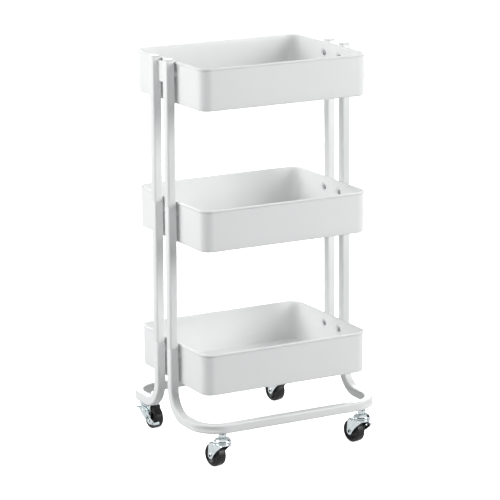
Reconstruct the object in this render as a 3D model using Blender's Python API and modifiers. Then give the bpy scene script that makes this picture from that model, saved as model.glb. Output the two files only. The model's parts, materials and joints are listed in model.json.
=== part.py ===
"""Three-tier rolling utility cart, used as a mobile printer stand.

Metres, +Z up. The origin is on the floor under the middle of the cart, +X runs along the long side of the
trays, and -Y is the front. Two bent tube frames stand back to back, straight tubes plug into them one above
another, and three sheet-metal trays are bolted between the tubes. Four swivel casters carry the cart, and
two of them, on one diagonal, have a rocker brake.
"""

import math

import bmesh
import bpy
from mathutils import Matrix, Vector

# Touching pieces keep this gap, and a cutter runs this far past what it cuts
GAP = 0.0003
CUT_PAST = 0.002

# Square tube with rounded edges
TUBE = 0.020
TUBE_CORNER = 0.0045
TUBE_WALL = 0.0012
BEND_RADIUS = 0.044
BEND_STEPS = 5

# Where the tube runs: the uprights' axes, and the long base rail's axis
POST_X = 0.2112
POST_Y = 0.0315
RAIL_Y = 0.1765
RAIL_Z = 0.087

# Uprights: the base frame's stub ends at FIRST_JOINT, then come two straight tubes of the same length
FIRST_JOINT = 0.233
POST_LENGTH = 0.309
TENON_LENGTH = 0.030
TENON_CLEARANCE = 0.0003
TENON_BORE_CORNER = 0.002
TENON_FLARE_START = 0.004
TENON_FLARE_END = 0.006
TUBE_END_CHAMFER = 0.0004
CAP_HEIGHT = 0.003
CAP_PLUG = 0.012
CAP_LEAD_IN = 0.003
CAP_TAPER = 0.0006
CAP_EDGE = 0.001

# Trays: outside of the wall at half length and half depth
TRAY_HALF_X = 0.197
TRAY_HALF_Y = 0.1545
TRAY_HEIGHT = 0.090
TRAY_CORNER = 0.025
TRAY_CORNER_STEPS = 4
TRAY_FOOT_RADIUS = 0.004
SHEET = 0.001
BEAD_WIDTH = 0.004
BEAD_HEIGHT = 0.0055
BEAD_STANDS_IN = 0.0002
BEAD_OUTER_SEAM = 0.0050
BEAD_INNER_SEAM = 0.0034
RIM_ABOVE_JOINT = 0.0105
RIM_BELOW_TOP = 0.002

# Tray bolts (M4 with a wide head), one into each upright, in a boss that the wall is pressed out into
BOLT_BELOW_RIM = 0.026
BOLT_RADIUS = 0.00175
BOLT_HOLE = 0.00205
BOLT_HEAD_RADIUS = 0.0052
BOLT_HEAD_HEIGHT = 0.0030
BOLT_LENGTH = 0.012
BOSS_OUTER = 0.0090
BOSS_INNER = 0.0066
BOSS_RECESS_INSET = 0.0008

# Bridge between the front and the rear upright, near their top
BRIDGE_HEIGHT = 0.043
BRIDGE_TOP_BELOW_CAP = 0.010
BRIDGE_THICKNESS = 0.005
BRIDGE_X = 0.2062
BRIDGE_EDGE = 0.0008
PEG_RADIUS = 0.0030
PEG_REACH = 0.004

# Casters, each in a frame of its own: Z up through the stem from the floor, +X the way the wheel trails
CASTER_X = 0.170
CASTER_Y = 0.1765
TRAIL = 0.0246
WHEEL_RADIUS = 0.025
WHEEL_WIDTH = 0.022
WHEEL_STEPS = 24
WHEEL_EDGE = 0.0020
RIM_OUTER = 0.0232
RIM_INNER = 0.0198
WEB_OUTER = 0.0185
WEB_INNER = 0.0076
WEB_DEPTH = 0.0035
HUB_RADIUS = 0.0068
HUB_STANDS_OUT = 0.0008
AXLE_RADIUS = 0.0029
AXLE_HEAD_RADIUS = 0.0044
AXLE_HEAD_TOP_RADIUS = 0.0032
AXLE_HEAD_EDGE = 0.0004
AXLE_HEAD_HEIGHT = 0.0014
STEM_RADIUS = 0.0050
STEM_BORE = 0.0053
STEM_TOP = 0.0915
STEM_FOOT_RADIUS = 0.0070
STEM_FOOT_HEIGHT = 0.0022
COLLAR_RADIUS = 0.0075
COLLAR_TOP = 0.0865
NUT_ACROSS_FLATS = 0.017
NUT_HEIGHT = 0.0080
RACE_RADIUS = 0.0185
CROWN_BOTTOM = 0.0527
CROWN_TOP = 0.0545
LOWER_RACE_TOP = 0.0570
UPPER_RACE_BOTTOM = 0.0577
UPPER_RACE_TOP = 0.0680
RACE_NECK_RADIUS = 0.0080
RACE_NECK_FOOT = (0.0105, 0.0645)
RACE_SHOULDER = (0.0170, 0.0619)
RACE_LIP_TOP = 0.0603
FORK_HALF_WIDTH = 0.0140
FORK_SHEET = 0.0015
LEG_END_RADIUS = 0.0075
CROWN_LEADING_X = -0.0110
CROWN_TRAILING_X = 0.0290
CROWN_CORNER = 0.0035
CROWN_EDGE = 0.0027

# Rocker brake outside the leg on the caster's -Y side: its pivot and outline in (trailing, height), its inner
# face, and the two ends that are folded, the shoe inwards behind the tread and the tab outwards for the foot
BRAKE_PIVOT = (0.0150, 0.0395)
BRAKE_SHEET = 0.0015
BRAKE_INNER_Y = -0.0162
BRAKE_OUTLINE = (
    (-0.0130, 0.0455),
    (-0.0145, 0.0395),
    (0.0030, 0.0285),
    (0.0170, 0.0190),
    (0.0330, 0.0125),
    (0.0500, 0.0140),
    (0.0525, 0.0210),
    (0.0360, 0.0280),
    (0.0240, 0.0430),
    (0.0150, 0.0465),
    (0.0060, 0.0475),
)
BRAKE_SHOE_X = (0.0513, 0.0528)
BRAKE_SHOE_Z = (0.0150, 0.0200)
BRAKE_SHOE_REACH = 0.0140
BRAKE_TAB_X = (-0.0142, -0.0127)
BRAKE_TAB_Z = (0.0410, 0.0450)
BRAKE_TAB_REACH = 0.0075
BRAKE_WINDOW_RADIUS = 0.0056
BRAKE_RIVET_RADIUS = 0.0022
BRAKE_RIVET_INNER_HEAD = (0.0036, 0.0008)
BRAKE_RIVET_COLLAR = 0.0034
BRAKE_RIVET_OUTER_HEAD = (0.0040, 0.0010)

# Name, side along X, side along Y, swivel in degrees (the way the wheel trails, from +X), has a brake
CASTERS = (
    ("front_left", -1, -1, 100.4, False),
    ("front_right", 1, -1, 100.4, True),
    ("rear_right", 1, 1, 100.4, False),
    ("rear_left", -1, 1, -84.6, True),
)

SIDES_X = (("left", -1), ("right", 1))
SIDES_Y = (("front", -1), ("rear", 1))
LEVELS = ("bottom", "middle", "top")

SECOND_JOINT = FIRST_JOINT + POST_LENGTH
POST_TOP = SECOND_JOINT + POST_LENGTH
RIMS = {
    "bottom": FIRST_JOINT + RIM_ABOVE_JOINT,
    "middle": SECOND_JOINT + RIM_ABOVE_JOINT,
    "top": POST_TOP - RIM_BELOW_TOP,
}
TUBE_HALF = TUBE / 2
RAIL_BOTTOM = RAIL_Z - TUBE_HALF
BRIDGE_TOP = POST_TOP + CAP_HEIGHT - BRIDGE_TOP_BELOW_CAP
BRIDGE_MIDDLE = BRIDGE_TOP - BRIDGE_HEIGHT / 2


# Scene and collections ------------------------------------------------------------------------------------


def clear_scene():
    for obj in list(bpy.data.objects):
        bpy.data.objects.remove(obj, do_unlink=True)


def new_collection(name):
    collection = bpy.data.collections.new(name)
    bpy.context.scene.collection.children.link(collection)
    return collection


clear_scene()
PARTS = new_collection("rolling_utility_cart")
CUTTERS = new_collection("cutters")
CUTTERS.hide_render = True


def material(name, color, roughness, metallic):
    made = bpy.data.materials.new(name)
    made.use_nodes = True
    shader = made.node_tree.nodes["Principled BSDF"]
    shader.inputs["Base Color"].default_value = (*color, 1.0)
    shader.inputs["Roughness"].default_value = roughness
    shader.inputs["Metallic"].default_value = metallic
    return made


WHITE_PAINT = material("white_powder_coat", (0.80, 0.81, 0.80), 0.38, 0.0)
WHITE_PLASTIC = material("white_plastic", (0.74, 0.75, 0.74), 0.45, 0.0)
ZINC = material("zinc_plate", (0.62, 0.66, 0.70), 0.30, 1.0)
BOLT_STEEL = material("bolt_steel", (0.42, 0.43, 0.45), 0.35, 1.0)
BLACK_WHEEL = material("black_wheel_plastic", (0.018, 0.018, 0.019), 0.42, 0.0)


# Shape helpers --------------------------------------------------------------------------------------------


def add_object(name, mesh, finish, collection=PARTS):
    obj = bpy.data.objects.new(name, mesh)
    collection.objects.link(obj)
    if finish:
        mesh.materials.clear()
        mesh.materials.append(finish)
    return obj


def mesh_from(bm, name):
    bmesh.ops.recalc_face_normals(bm, faces=bm.faces[:])
    mesh = bpy.data.meshes.new(name)
    bm.to_mesh(mesh)
    bm.free()
    mesh.shade_smooth()
    mesh.set_sharp_from_angle(angle=math.radians(35))
    return mesh


def add_cutter(name, mesh):
    cutter = add_object(name, mesh, None, CUTTERS)
    cutter.hide_render = True
    cutter.display_type = "WIRE"
    return cutter


def boolean(obj, other, operation):
    modifier = obj.modifiers.new(f"{operation.lower()} {other.name}", "BOOLEAN")
    modifier.operation = operation
    modifier.solver = "EXACT"
    modifier.object = other


def cylinder(name, radius, start, end, segments=16, end_radius=None):
    """A round bar, or a cone with end_radius, from start to end."""
    start, end = Vector(start), Vector(end)
    along = end - start
    bm = bmesh.new()
    far = radius if end_radius is None else end_radius
    length = along.length
    bmesh.ops.create_cone(bm, cap_ends=True, segments=segments, radius1=radius, radius2=far, depth=length)
    place = Matrix.Translation((start + end) / 2) @ along.to_track_quat("Z", "Y").to_matrix().to_4x4()
    bmesh.ops.transform(bm, matrix=place, verts=bm.verts[:])
    return mesh_from(bm, name)


def box(name, low, high):
    low, high = Vector(low), Vector(high)
    bm = bmesh.new()
    bmesh.ops.create_cube(bm, size=1.0)
    bmesh.ops.scale(bm, vec=high - low, verts=bm.verts[:])
    bmesh.ops.translate(bm, vec=(low + high) / 2, verts=bm.verts[:])
    return mesh_from(bm, name)


def rounded_rectangle(half_x, half_y, radius, steps):
    """Counter-clockwise points of a rectangle with round corners, in X and Y."""
    points = []
    for quarter, (sx, sy) in enumerate(((1, 1), (-1, 1), (-1, -1), (1, -1))):
        for step in range(steps + 1):
            angle = math.radians(90 * (quarter + step / steps))
            points.append((sx * (half_x - radius) + radius * math.cos(angle),
                           sy * (half_y - radius) + radius * math.sin(angle)))
    return points


def ring_loft(name, rings):
    """Closed rings of points, all with the same count, joined in order by faces and closed at both ends."""
    bm = bmesh.new()
    rows = [[bm.verts.new(point) for point in ring] for ring in rings]
    count = len(rows[0])
    for lower, upper in zip(rows, rows[1:]):
        for i in range(count):
            j = (i + 1) % count
            bm.faces.new((lower[i], lower[j], upper[j], upper[i]))
    bm.faces.new(rows[0][::-1])
    bm.faces.new(rows[-1])
    return mesh_from(bm, name)


def square_loft(name, stations):
    """Rounded squares stacked along Z, each station a (height, half width, corner radius)."""
    rings = []
    for height, half, corner in stations:
        rings.append([(x, y, height) for x, y in rounded_rectangle(half, half, corner, 2)])
    return ring_loft(name, rings)


def turned(name, profile, steps, axis="Z", closed=False):
    """A profile of (radius, height) points, listed top to bottom on its outer side, turned about the axis."""
    bm = bmesh.new()
    verts = [bm.verts.new((radius, 0, height)) for radius, height in profile]
    for first, second in zip(verts, verts[1:]):
        bm.edges.new((first, second))
    if closed:
        bm.edges.new((verts[-1], verts[0]))
    mesh = bpy.data.meshes.new(name)
    bm.to_mesh(mesh)
    bm.free()
    obj = bpy.data.objects.new(name, mesh)
    CUTTERS.objects.link(obj)
    screw = obj.modifiers.new("turn", "SCREW")
    screw.steps = steps
    screw.render_steps = steps
    screw.use_merge_vertices = True
    screw.merge_threshold = 0.00001
    solid = evaluated_mesh(obj)
    bpy.data.objects.remove(obj, do_unlink=True)
    if axis == "Y":
        solid.transform(Matrix.Rotation(math.radians(-90), 4, "X"))
    if axis == "X":
        solid.transform(Matrix.Rotation(math.radians(90), 4, "Y"))
    solid.name = name
    return finished(solid)


def finished(mesh):
    """The mesh welded, with its faces out and its edges sharp where they turn by more than 35 degrees."""
    bm = bmesh.new()
    bm.from_mesh(mesh)
    bmesh.ops.remove_doubles(bm, verts=bm.verts[:], dist=0.000001)
    bmesh.ops.recalc_face_normals(bm, faces=bm.faces[:])
    bm.to_mesh(mesh)
    bm.free()
    mesh.shade_smooth()
    mesh.set_sharp_from_angle(angle=math.radians(35))
    return mesh


def evaluated_mesh(obj):
    graph = bpy.context.evaluated_depsgraph_get()
    return bpy.data.meshes.new_from_object(obj.evaluated_get(graph))


def extruded(name, outlines, thickness):
    """Flat outlines in X and Y, holes among them, as a filled 2D curve extruded about Z = 0."""
    curve = bpy.data.curves.new(name, "CURVE")
    curve.dimensions = "2D"
    curve.fill_mode = "BOTH"
    curve.extrude = thickness / 2
    for outline in outlines:
        spline = curve.splines.new("POLY")
        spline.points.add(len(outline) - 1)
        for point, (x, y) in zip(spline.points, outline):
            point.co = (x, y, 0, 1)
        spline.use_cyclic_u = True
    obj = bpy.data.objects.new(name, curve)
    CUTTERS.objects.link(obj)
    mesh = evaluated_mesh(obj)
    bpy.data.objects.remove(obj, do_unlink=True)
    return finished(mesh)


def plate(name, outlines, thickness):
    """The same, standing up: the outlines are in X and Z, and the thickness is along Y."""
    mesh = extruded(name, outlines, thickness)
    mesh.transform(Matrix.Rotation(math.radians(90), 4, "X"))
    return mesh


def arc(center, radius, first, last, steps):
    """Points on an arc, from the first to the last angle in degrees."""
    points = []
    for step in range(steps + 1):
        angle = math.radians(first + (last - first) * step / steps)
        points.append((center[0] + radius * math.cos(angle), center[1] + radius * math.sin(angle)))
    return points


# Bent base frames -----------------------------------------------------------------------------------------


def frame_path(side):
    """Axis of a bent frame: down an upright, out along the short side, round to the rail, and back up."""
    points = [Vector((-POST_X, side * POST_Y, FIRST_JOINT))]
    for y, z in arc((POST_Y + BEND_RADIUS, RAIL_Z + BEND_RADIUS), BEND_RADIUS, 180, 270, BEND_STEPS):
        points.append(Vector((-POST_X, side * y, z)))
    for x, y in arc((BEND_RADIUS - POST_X, RAIL_Y - BEND_RADIUS), BEND_RADIUS, 180, 90, BEND_STEPS):
        points.append(Vector((x, side * y, RAIL_Z)))
    mirrored = [Vector((-p.x, p.y, p.z)) for p in reversed(points)]
    return points + mirrored


def tube_profile():
    """Guide curve for the tube's section, a square with round edges."""
    curve = bpy.data.curves.new("tube_section", "CURVE")
    curve.dimensions = "2D"
    outline = rounded_rectangle(TUBE_HALF, TUBE_HALF, TUBE_CORNER, 2)
    spline = curve.splines.new("POLY")
    spline.points.add(len(outline) - 1)
    for point, (x, y) in zip(spline.points, outline):
        point.co = (x, y, 0, 1)
    spline.use_cyclic_u = True
    guide = bpy.data.objects.new("tube_section", curve)
    guide.hide_render = True
    guide.display_type = "WIRE"
    CUTTERS.objects.link(guide)
    return guide


def bent_tube(name, points, section):
    """Open skin of a tube that follows the points."""
    curve = bpy.data.curves.new(name, "CURVE")
    curve.dimensions = "3D"
    curve.bevel_mode = "OBJECT"
    curve.bevel_object = section
    curve.twist_mode = "MINIMUM"
    spline = curve.splines.new("POLY")
    spline.points.add(len(points) - 1)
    for point, place in zip(spline.points, points):
        point.co = (*place, 1)
    obj = bpy.data.objects.new(name, curve)
    CUTTERS.objects.link(obj)
    mesh = evaluated_mesh(obj)
    bpy.data.objects.remove(obj, do_unlink=True)
    return finished(mesh)


def make_hollow(obj):
    solidify = obj.modifiers.new("wall", "SOLIDIFY")
    solidify.thickness = TUBE_WALL
    solidify.offset = -1
    solidify.use_even_offset = True


def cut_bolt_hole(tube, side_x, side_y, height):
    """Hole through the tube's inner wall for a tray bolt."""
    start = side_x * (POST_X - TUBE_HALF - CUT_PAST)
    end = side_x * (POST_X - TUBE_HALF + TUBE_WALL + CUT_PAST)
    y = side_y * POST_Y
    mesh = cylinder("bolt_hole", BOLT_HOLE, (start, y, height), (end, y, height), 12)
    boolean(tube, add_cutter(f"bolt_hole_{tube.name}_{side_x}_{height:.3f}", mesh), "DIFFERENCE")


def build_base_frame(name, side, section):
    frame = add_object(name, bent_tube(name, frame_path(side), section), WHITE_PAINT)
    make_hollow(frame)
    for _, side_x in SIDES_X:
        center = (side_x * CASTER_X, side * CASTER_Y)
        low, high = (*center, RAIL_BOTTOM + TUBE_WALL / 2), (*center, COLLAR_TOP)
        collar = cylinder("collar", COLLAR_RADIUS, low, high, 12)
        boolean(frame, add_cutter(f"collar_{name}_{side_x}", collar), "UNION")
        below = (*center, RAIL_BOTTOM - CUT_PAST)
        bore = cylinder("stem_bore", STEM_BORE, below, (*center, COLLAR_TOP + CUT_PAST), 12)
        boolean(frame, add_cutter(f"stem_bore_{name}_{side_x}", bore), "DIFFERENCE")
        cut_bolt_hole(frame, side_x, side, RIMS["bottom"] - BOLT_BELOW_RIM)
    return frame


# Straight uprights, caps and bridges ----------------------------------------------------------------------


def bore_mesh():
    """The space inside a straight tube, as a cutter."""
    tenon_half = TUBE_HALF - 2 * TUBE_WALL - TENON_CLEARANCE
    half, corner = TUBE_HALF - TUBE_WALL, TUBE_CORNER - TUBE_WALL
    return square_loft("post_bore", (
        (-TENON_LENGTH - CUT_PAST, tenon_half, TENON_BORE_CORNER),
        (TENON_FLARE_START, tenon_half, TENON_BORE_CORNER),
        (TENON_FLARE_END, half, corner),
        (POST_LENGTH + CUT_PAST, half, corner),
    ))


def build_post(name, side_x, side_y, joint, rim, bridged):
    tenon_half = TUBE_HALF - TUBE_WALL - TENON_CLEARANCE
    tenon_corner = TUBE_CORNER - TUBE_WALL
    skin = square_loft(name, (
        (-TENON_LENGTH, tenon_half, tenon_corner),
        (GAP, tenon_half, tenon_corner),
        (GAP, TUBE_HALF - TUBE_END_CHAMFER, TUBE_CORNER),
        (GAP + TUBE_END_CHAMFER, TUBE_HALF, TUBE_CORNER),
        (POST_LENGTH, TUBE_HALF, TUBE_CORNER),
    ))
    post = add_object(name, skin, WHITE_PAINT)
    post.location = (side_x * POST_X, side_y * POST_Y, joint)
    bore = add_cutter(f"bore_{name}", bore_mesh())
    bore.location = post.location
    boolean(post, bore, "DIFFERENCE")
    lower_rim = joint + RIM_ABOVE_JOINT
    cut_bolt_hole(post, side_x, side_y, lower_rim - BOLT_BELOW_RIM)
    cut_bolt_hole(post, side_x, side_y, rim - BOLT_BELOW_RIM)
    if bridged:
        near = side_y * (POST_Y - TUBE_HALF - CUT_PAST)
        far = side_y * (POST_Y - TUBE_HALF + TUBE_WALL + CUT_PAST)
        x = side_x * BRIDGE_X
        start, end = (x, near, BRIDGE_MIDDLE), (x, far, BRIDGE_MIDDLE)
        peg_hole = cylinder("peg_hole", PEG_RADIUS + GAP, start, end, 12)
        boolean(post, add_cutter(f"peg_hole_{name}", peg_hole), "DIFFERENCE")
    return post


def build_cap(name, side_x, side_y):
    plug = TUBE_HALF - TUBE_WALL - GAP
    corner = TUBE_CORNER - TUBE_WALL
    mesh = square_loft(name, (
        (-CAP_PLUG, plug - CAP_TAPER, corner),
        (-CAP_PLUG + CAP_LEAD_IN, plug, corner),
        (GAP, plug, corner),
        (GAP, TUBE_HALF, TUBE_CORNER),
        (CAP_HEIGHT - CAP_EDGE, TUBE_HALF, TUBE_CORNER),
        (CAP_HEIGHT, TUBE_HALF - CAP_EDGE, TUBE_CORNER - CAP_EDGE),
    ))
    cap = add_object(name, mesh, WHITE_PLASTIC)
    cap.location = (side_x * POST_X, side_y * POST_Y, POST_TOP)
    return cap


def build_bridge(name, side_x):
    """Plate that spaces the front and rear upright, with a peg into each."""
    half_y = POST_Y - TUBE_HALF - GAP
    x, half_x = side_x * BRIDGE_X, BRIDGE_THICKNESS / 2
    low = (x - half_x, -half_y, BRIDGE_TOP - BRIDGE_HEIGHT)
    high = (x + half_x, half_y, BRIDGE_TOP)
    bridge = add_object(name, box(name, low, high), WHITE_PLASTIC)
    bevel = bridge.modifiers.new("edges", "BEVEL")
    bevel.width = BRIDGE_EDGE
    bevel.segments = 1
    reach = half_y + PEG_REACH
    peg = cylinder("peg", PEG_RADIUS, (x, -reach, BRIDGE_MIDDLE), (x, reach, BRIDGE_MIDDLE), 12)
    # One bar right through makes both pegs. It is a little thicker than the plate and shows as a low rib.
    boolean(bridge, add_cutter(f"peg_{name}", peg), "UNION")
    return bridge


# Trays and their bolts ------------------------------------------------------------------------------------


def tray_profile():
    """Section through a tray's edge as (inset from the outer wall, height from the rim): out of the
    underside, up the outer wall, round the rolled bead, and down the inner wall to the floor."""
    foot_center = (TRAY_FOOT_RADIUS, TRAY_FOOT_RADIUS - TRAY_HEIGHT)
    outside = arc(foot_center, TRAY_FOOT_RADIUS, 270, 180, 2)
    inside = arc(foot_center, TRAY_FOOT_RADIUS - SHEET, 180, 270, 2)
    bead_inset = SHEET + BEAD_STANDS_IN - BEAD_WIDTH / 2
    stretch = BEAD_HEIGHT / BEAD_WIDTH
    bead = []
    for inset, height in arc((bead_inset, -BEAD_WIDTH / 2), BEAD_WIDTH / 2, 270, 0, 6):
        bead.append((inset, height * stretch))
    return outside + [(0.0, -BEAD_OUTER_SEAM)] + bead + [(SHEET, -BEAD_INNER_SEAM)] + inside


def tray_mesh(name, rim):
    rings = []
    for inset, height in tray_profile():
        half_x, half_y = TRAY_HALF_X - inset, TRAY_HALF_Y - inset
        outline = rounded_rectangle(half_x, half_y, TRAY_CORNER - inset, TRAY_CORNER_STEPS)
        rings.append([(x, y, rim + height) for x, y in outline])
    return ring_loft(name, rings)


def cut_boss(tray, side_x, side_y, height):
    """Wall pressed outwards round a bolt, up to the upright, with the bolt's hole in it."""
    y = side_y * POST_Y
    face = POST_X - TUBE_HALF - GAP
    label = f"{tray.name}_{side_x}_{side_y}"
    start = (side_x * (TRAY_HALF_X - SHEET / 2), y, height)
    end = (side_x * face, y, height)
    outer = cylinder("boss", BOSS_OUTER, start, end, 16, BOSS_INNER)
    boolean(tray, add_cutter(f"boss_{label}", outer), "UNION")
    start = (side_x * (TRAY_HALF_X - SHEET - BOSS_RECESS_INSET / 2), y, height)
    end = (side_x * (face - SHEET), y, height)
    inner = cylinder("recess", BOSS_OUTER - BOSS_RECESS_INSET, start, end, 16, BOSS_INNER - BOSS_RECESS_INSET)
    boolean(tray, add_cutter(f"recess_{label}", inner), "DIFFERENCE")
    start = (side_x * (face - SHEET - CUT_PAST), y, height)
    end = (side_x * (face + CUT_PAST), y, height)
    hole = cylinder("hole", BOLT_HOLE, start, end, 12)
    boolean(tray, add_cutter(f"hole_{label}", hole), "DIFFERENCE")


def build_tray(name, rim):
    tray = add_object(name, tray_mesh(name, rim), WHITE_PAINT)
    for _, side_x in SIDES_X:
        for _, side_y in SIDES_Y:
            cut_boss(tray, side_x, side_y, rim - BOLT_BELOW_RIM)
    return tray


def bolt_mesh():
    """Button-head bolt along +X, with Z = 0 under its head and the head on the -X side."""
    profile = (
        (0.0, BOLT_LENGTH),
        (BOLT_RADIUS, BOLT_LENGTH),
        (BOLT_RADIUS, 0.0),
        (BOLT_HEAD_RADIUS, 0.0),
        (BOLT_HEAD_RADIUS * 0.86, -BOLT_HEAD_HEIGHT * 0.65),
        (BOLT_HEAD_RADIUS * 0.50, -BOLT_HEAD_HEIGHT),
        (0.0, -BOLT_HEAD_HEIGHT),
    )
    return turned("tray_bolt", profile, 8, axis="X")


# Casters --------------------------------------------------------------------------------------------------


def stem_mesh():
    """Threaded stem with a clenched foot under the fork's crown."""
    foot = CROWN_BOTTOM - GAP
    profile = (
        (0.0, STEM_TOP),
        (STEM_RADIUS - 0.0008, STEM_TOP),
        (STEM_RADIUS, STEM_TOP - 0.001),
        (STEM_RADIUS, foot),
        (STEM_FOOT_RADIUS, foot),
        (STEM_FOOT_RADIUS - 0.001, foot - STEM_FOOT_HEIGHT),
        (0.0, foot - STEM_FOOT_HEIGHT),
    )
    return turned("stem", profile, 12)


def nut_mesh():
    corner = NUT_ACROSS_FLATS / 2 / math.cos(math.radians(30))
    hexagon = arc((0, 0), corner, 0, 300, 5)
    bore = arc((0, 0), STEM_BORE, 0, 330, 11)
    mesh = extruded("nut", (hexagon, bore), NUT_HEIGHT)
    mesh.transform(Matrix.Translation((0, 0, RAIL_BOTTOM - GAP - NUT_HEIGHT / 2)))
    return mesh


def upper_race_mesh():
    """Domed cap over the swivel's balls; it turns with the stem, not with the fork."""
    profile = (
        (STEM_BORE, UPPER_RACE_TOP),
        (RACE_NECK_RADIUS, UPPER_RACE_TOP),
        RACE_NECK_FOOT,
        RACE_SHOULDER,
        (RACE_RADIUS, RACE_LIP_TOP),
        (RACE_RADIUS, UPPER_RACE_BOTTOM),
        (STEM_BORE, UPPER_RACE_BOTTOM),
    )
    return turned("upper_race", profile, 16, closed=True)


def fork_outline():
    """Side view of the fork, in the way it trails and height."""
    corner = (CROWN_TRAILING_X - CROWN_CORNER, CROWN_TOP - CROWN_CORNER)
    outline = arc((TRAIL, WHEEL_RADIUS), LEG_END_RADIUS, 215, 365, 6)
    outline += arc(corner, CROWN_CORNER, 0, 90, 3)
    outline += [(CROWN_LEADING_X, CROWN_TOP), (CROWN_LEADING_X, CROWN_TOP - CROWN_EDGE - GAP)]
    return outline


def build_fork(name, braked):
    mesh = plate(name, (fork_outline(),), 2 * FORK_HALF_WIDTH)
    fork = add_object(name, mesh, ZINC)
    inside = FORK_HALF_WIDTH - FORK_SHEET
    hollow = box("hollow", (-2 * TRAIL, -inside, -CUT_PAST), (2 * TRAIL, inside, CROWN_BOTTOM))
    boolean(fork, add_cutter(f"hollow_{name}", hollow), "DIFFERENCE")
    race = cylinder("race", RACE_RADIUS, (0, 0, CROWN_BOTTOM), (0, 0, LOWER_RACE_TOP), 16)
    boolean(fork, add_cutter(f"race_{name}", race), "UNION")
    bore = cylinder("bore", STEM_BORE, (0, 0, CROWN_BOTTOM - CUT_PAST), (0, 0, LOWER_RACE_TOP + CUT_PAST), 12)
    boolean(fork, add_cutter(f"bore_{name}", bore), "DIFFERENCE")
    reach = FORK_HALF_WIDTH + CUT_PAST
    axle_hole = cylinder("axle_hole", AXLE_RADIUS + GAP, (TRAIL, -reach, WHEEL_RADIUS),
                         (TRAIL, reach, WHEEL_RADIUS), 12)
    boolean(fork, add_cutter(f"axle_hole_{name}", axle_hole), "DIFFERENCE")
    if braked:
        x, z = BRAKE_PIVOT
        rivet_hole = cylinder("rivet_hole", BRAKE_RIVET_RADIUS + GAP, (x, -reach, z), (x, -reach / 2, z), 10)
        boolean(fork, add_cutter(f"rivet_hole_{name}", rivet_hole), "DIFFERENCE")
    return fork


def axle_mesh():
    """Rivet through both legs, along Y, with a clenched head outside each leg."""
    half = FORK_HALF_WIDTH + GAP
    side = (
        (0.0, half + AXLE_HEAD_HEIGHT),
        (AXLE_HEAD_TOP_RADIUS, half + AXLE_HEAD_HEIGHT),
        (AXLE_HEAD_RADIUS, half + AXLE_HEAD_EDGE),
        (AXLE_HEAD_RADIUS, half),
        (AXLE_RADIUS, half),
    )
    profile = side + tuple((radius, -y) for radius, y in reversed(side))
    return turned("axle", profile, 12, axis="Y")


def wheel_mesh():
    """Plastic wheel about Y: round-edged tread, raised rim, sunk web and a long hub round the axle."""
    # The facets' flats, not their corners, lie at the wheel's radius
    tread = WHEEL_RADIUS / math.cos(math.pi / WHEEL_STEPS)
    half = WHEEL_WIDTH / 2
    side = (
        (AXLE_RADIUS + GAP, half + HUB_STANDS_OUT),
        (HUB_RADIUS, half + HUB_STANDS_OUT),
        (WEB_INNER, half - WEB_DEPTH),
        (WEB_OUTER, half - WEB_DEPTH),
        (RIM_INNER, half),
        (RIM_OUTER, half),
        (tread, half - WHEEL_EDGE),
    )
    profile = side + tuple((radius, -y) for radius, y in reversed(side))
    mesh = turned("wheel", profile, WHEEL_STEPS, axis="Y", closed=True)
    mesh.transform(Matrix.Rotation(math.pi / WHEEL_STEPS, 4, "Y"))
    return mesh


def build_brake_lever(name):
    """Stamped rocker outside one leg. The shoe at its trailing end folds in behind the tread, and the foot
    tab at its leading end folds out. The origin is on its pivot."""
    px, pz = BRAKE_PIVOT
    mesh = plate(name, ([(x - px, z - pz) for x, z in BRAKE_OUTLINE],), BRAKE_SHEET)
    mesh.transform(Matrix.Translation((0, -BRAKE_SHEET / 2, 0)))
    lever = add_object(name, mesh, ZINC)
    (near, far), (low, high) = BRAKE_SHOE_X, BRAKE_SHOE_Z
    shoe = box("shoe", (near - px, -BRAKE_SHEET, low - pz), (far - px, BRAKE_SHOE_REACH, high - pz))
    boolean(lever, add_cutter(f"shoe_{name}", shoe), "UNION")
    (near, far), (low, high) = BRAKE_TAB_X, BRAKE_TAB_Z
    tab = box("tab", (near - px, -BRAKE_TAB_REACH, low - pz), (far - px, 0, high - pz))
    boolean(lever, add_cutter(f"tab_{name}", tab), "UNION")
    reach = BRAKE_SHEET + CUT_PAST
    hole = cylinder("hole", BRAKE_RIVET_RADIUS + GAP, (0, -reach, 0), (0, reach, 0), 10)
    boolean(lever, add_cutter(f"pivot_hole_{name}", hole), "DIFFERENCE")
    x, z = TRAIL - px, WHEEL_RADIUS - pz
    window = cylinder("window", BRAKE_WINDOW_RADIUS, (x, -reach, z), (x, reach, z), 12)
    boolean(lever, add_cutter(f"axle_window_{name}", window), "DIFFERENCE")
    return lever


def brake_rivet_mesh():
    """Rivet along Y from inside the fork's leg to outside the brake, in the caster's own frame."""
    inner_head = FORK_HALF_WIDTH - FORK_SHEET - GAP
    outer_head = -BRAKE_INNER_Y + BRAKE_SHEET + GAP
    inner_radius, inner_height = BRAKE_RIVET_INNER_HEAD
    outer_radius, outer_height = BRAKE_RIVET_OUTER_HEAD
    profile = (
        (0.0, -inner_head + inner_height),
        (inner_radius, -inner_head + inner_height),
        (inner_radius, -inner_head),
        (BRAKE_RIVET_RADIUS, -inner_head),
        (BRAKE_RIVET_RADIUS, -FORK_HALF_WIDTH - GAP),
        (BRAKE_RIVET_COLLAR, -FORK_HALF_WIDTH - GAP),
        (BRAKE_RIVET_COLLAR, BRAKE_INNER_Y + GAP),
        (BRAKE_RIVET_RADIUS, BRAKE_INNER_Y + GAP),
        (BRAKE_RIVET_RADIUS, -outer_head),
        (outer_radius, -outer_head),
        (BRAKE_RIVET_COLLAR, -outer_head - outer_height),
        (0.0, -outer_head - outer_height),
    )
    return turned("brake_rivet", profile, 10, axis="Y")


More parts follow.
